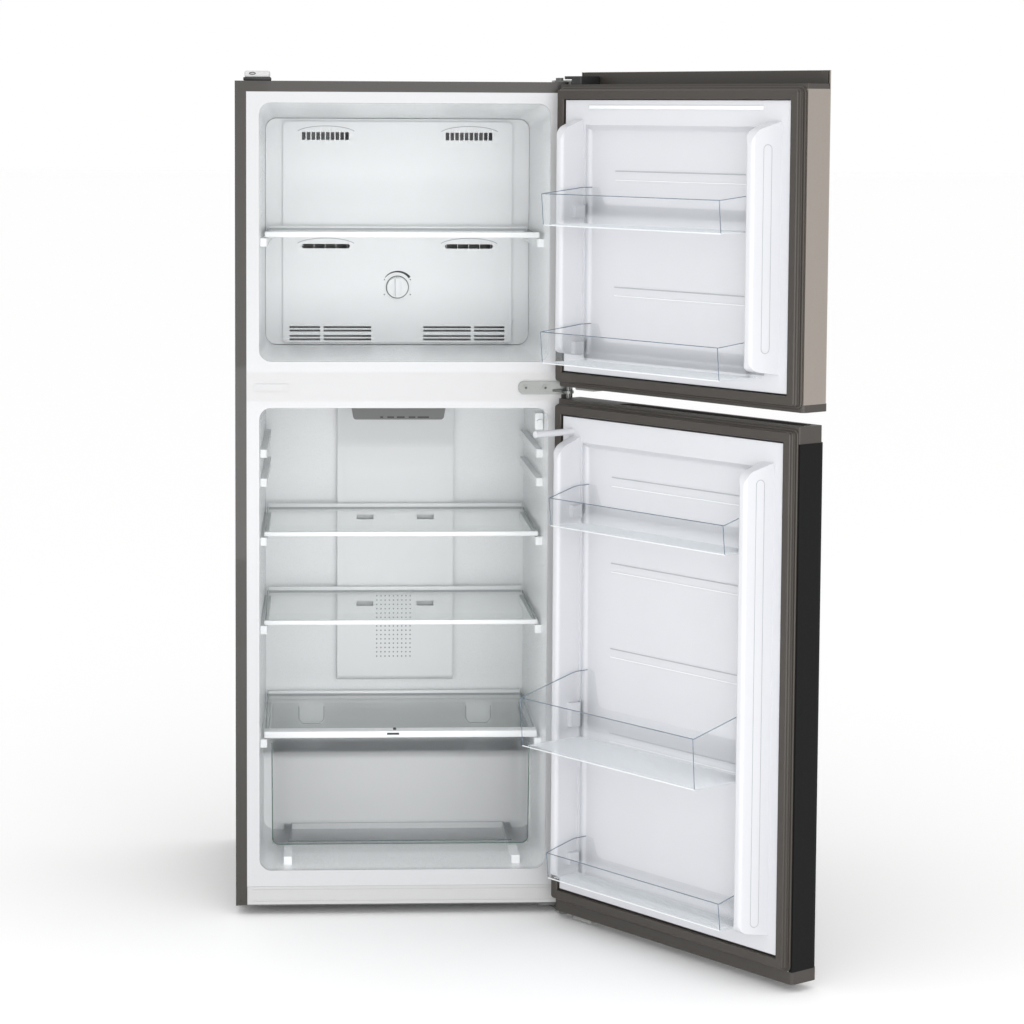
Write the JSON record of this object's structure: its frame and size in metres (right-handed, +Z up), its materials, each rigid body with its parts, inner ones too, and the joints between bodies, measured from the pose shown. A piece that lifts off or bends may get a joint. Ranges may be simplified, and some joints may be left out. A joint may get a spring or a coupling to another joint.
{
  "type": "top freezer refrigerator",
  "caption": "Top freezer refrigerator with both doors open, clear door bins, glass shelves, crisper drawer and rear compressor bay.",
  "frame": {"origin": "middle of the front edge of the cabinet underside, on the plane of the front flange", "axes": "+Z up, +Y from the front of the cabinet towards the wall behind, +X to the right of someone facing it, which is the hinge side"},
  "size_m": [0.92, 1.0581, 1.4328],
  "materials": {
    "cabinet_paint": "satin",
    "door_steel": "satin",
    "dark_door": "matte",
    "zinc_steel": "satin",
    "white_liner": "satin",
    "clear_plastic": "gloss",
    "shelf_glass": "gloss",
    "gasket_vinyl": "matte",
    "grey_plastic": "matte",
    "dark_plastic": "matte",
    "cap_plastic": "matte",
    "kick_grey": "matte",
    "insulation": "matte",
    "compressor_black": "satin",
    "copper_tube": "satin",
    "aluminium": "satin",
    "black_rubber": "matte"
  },
  "bodies": {
    "cabinet": {"outer_shell": "cabinet_paint", "back_panel": "zinc_steel", "bottom_plate": "zinc_steel", "compressor_plate": "zinc_steel", "front_rail": "zinc_steel", "cabinet_foam": "insulation", "freezer_liner": "white_liner", "fridge_liner": "white_liner", "mullion_cover": "cabinet_paint", "mullion_plug": "white_liner", "kick_plate": "kick_grey", "top_hinge": "zinc_steel", "middle_hinge": "zinc_steel", "bottom_hinge": "zinc_steel", "hinge_screws": "zinc_steel", "hinge_hole_cap": "cap_plastic", "compressor": "compressor_black", "compressor_mounts": "black_rubber", "condenser_coil": "copper_tube", "drain_pan": "white_liner", "evaporator_cover": "white_liner", "evaporator_coil": "aluminium", "defrost_heater": "aluminium", "fan_motor": "dark_plastic", "screw_caps": "white_liner", "air_duct": "white_liner", "lamp_cover": "grey_plastic", "switch_housing": "white_liner", "power_inlet": "white_liner"},
    "freezer_door": {"freezer_door_skin": "door_steel", "freezer_door_top_cap": "cap_plastic", "freezer_door_bottom_cap": "cap_plastic", "freezer_door_foam": "insulation", "freezer_door_liner": "white_liner", "freezer_door_gasket": "gasket_vinyl", "top_hinge_cover": "dark_plastic"},
    "fridge_door": {"fridge_door_skin": "dark_door", "fridge_door_top_cap": "cap_plastic", "fridge_door_bottom_cap": "cap_plastic", "fridge_door_foam": "insulation", "fridge_door_liner": "white_liner", "fridge_door_gasket": "gasket_vinyl"},
    "freezer_bin_upper_body": {"freezer_bin_upper": "clear_plastic"},
    "freezer_bin_lower_body": {"freezer_bin_lower": "clear_plastic"},
    "fridge_bin_upper_body": {"fridge_bin_upper": "clear_plastic"},
    "fridge_bin_middle_body": {"fridge_bin_middle": "clear_plastic"},
    "fridge_bin_lower_body": {"fridge_bin_lower": "clear_plastic"},
    "freezer_shelf_body": {"freezer_shelf": "shelf_glass"},
    "shelf_upper_body": {"shelf_upper": "shelf_glass"},
    "shelf_lower_body": {"shelf_lower": "shelf_glass"},
    "crisper_cover_body": {"crisper_cover": "shelf_glass"},
    "humidity_slider_body": {"humidity_slider": "grey_plastic"},
    "crisper_drawer_body": {"crisper_drawer": "clear_plastic"},
    "temperature_knob_body": {"temperature_knob": "white_liner"},
    "air_damper_body": {"air_damper": "white_liner"},
    "evaporator_fan_body": {"evaporator_fan": "dark_plastic"},
    "rear_rollers_body": {"rear_rollers": "dark_plastic"},
    "switch_plunger_body": {"switch_plunger": "white_liner"},
    "foot_left": {"levelling_foot_left": "zinc_steel"},
    "foot_right": {"levelling_foot_right": "zinc_steel"}
  },
  "joints": [
    {"name": "freezer_door_hinge", "type": "hinge", "parent": "cabinet", "child": "freezer_door", "pos_m": [0.2744, -0.0299, 1.144], "axis": [0, 0, 1], "range_deg": [-126.5, 8.5]},
    {"name": "fridge_door_hinge", "type": "hinge", "parent": "cabinet", "child": "fridge_door", "pos_m": [0.2744, -0.0299, 0.435], "axis": [0, 0, 1], "range_deg": [-125.9, 9.1]},
    {"name": "freezer_bin_upper_lift", "type": "slide", "parent": "freezer_door", "child": "freezer_bin_upper_body", "axis": [0, 0, 1], "range_m": [0, 0.03]},
    {"name": "freezer_bin_lower_lift", "type": "slide", "parent": "freezer_door", "child": "freezer_bin_lower_body", "axis": [0, 0, 1], "range_m": [0, 0.03]},
    {"name": "fridge_bin_upper_lift", "type": "slide", "parent": "fridge_door", "child": "fridge_bin_upper_body", "axis": [0, 0, 1], "range_m": [0, 0.03]},
    {"name": "fridge_bin_middle_lift", "type": "slide", "parent": "fridge_door", "child": "fridge_bin_middle_body", "axis": [0, 0, 1], "range_m": [0, 0.03]},
    {"name": "fridge_bin_lower_lift", "type": "slide", "parent": "fridge_door", "child": "fridge_bin_lower_body", "axis": [0, 0, 1], "range_m": [0, 0.03]},
    {"name": "freezer_shelf_pull", "type": "slide", "parent": "cabinet", "child": "freezer_shelf_body", "axis": [0, -1, 0], "range_m": [0, 0.25]},
    {"name": "shelf_upper_pull", "type": "slide", "parent": "cabinet", "child": "shelf_upper_body", "axis": [0, -1, 0], "range_m": [0, 0.25]},
    {"name": "shelf_lower_pull", "type": "slide", "parent": "cabinet", "child": "shelf_lower_body", "axis": [0, -1, 0], "range_m": [0, 0.25]},
    {"name": "crisper_cover_pull", "type": "slide", "parent": "cabinet", "child": "crisper_cover_body", "axis": [0, -1, 0], "range_m": [0, 0.2]},
    {"name": "crisper_drawer_pull", "type": "slide", "parent": "cabinet", "child": "crisper_drawer_body", "axis": [0, -1, 0], "range_m": [0, 0.28]},
    {"name": "humidity_slide", "type": "slide", "parent": "crisper_cover_body", "child": "humidity_slider_body", "axis": [1, 0, 0], "range_m": [0, 0.02]},
    {"name": "temperature_knob_turn", "type": "hinge", "parent": "cabinet", "child": "temperature_knob_body", "pos_m": [0, 0.37, 1.034], "axis": [0, 1, 0], "range_deg": [-60, 60]},
    {"name": "air_damper_turn", "type": "hinge", "parent": "cabinet", "child": "air_damper_body", "pos_m": [0, 0.43, 0.95], "axis": [1, 0, 0], "range_deg": [-24, 24]},
    {"name": "evaporator_fan_spin", "type": "hinge", "parent": "cabinet", "child": "evaporator_fan_body", "pos_m": [0, 0.404, 1.272], "axis": [0, 1, 0], "continuous": true},
    {"name": "rear_roller_spin", "type": "hinge", "parent": "cabinet", "child": "rear_rollers_body", "pos_m": [0, 0.502, 0.006], "axis": [1, 0, 0], "continuous": true},
    {"name": "levelling_foot_left_screw", "type": "slide", "parent": "cabinet", "child": "foot_left", "axis": [0, 0, 1], "range_m": [-0.01, 0]},
    {"name": "levelling_foot_right_screw", "type": "slide", "parent": "cabinet", "child": "foot_right", "axis": [0, 0, 1], "range_m": [-0.01, 0]},
    {"name": "switch_plunger_push", "type": "slide", "parent": "cabinet", "child": "switch_plunger_body", "axis": [0, 1, 0], "range_m": [0, 0.004], "stiffness_N_per_m": 300}
  ],
  "couplings": [
    {"joint": "air_damper_turn", "follows": "temperature_knob_turn", "ratio": 0.4}
  ]
}
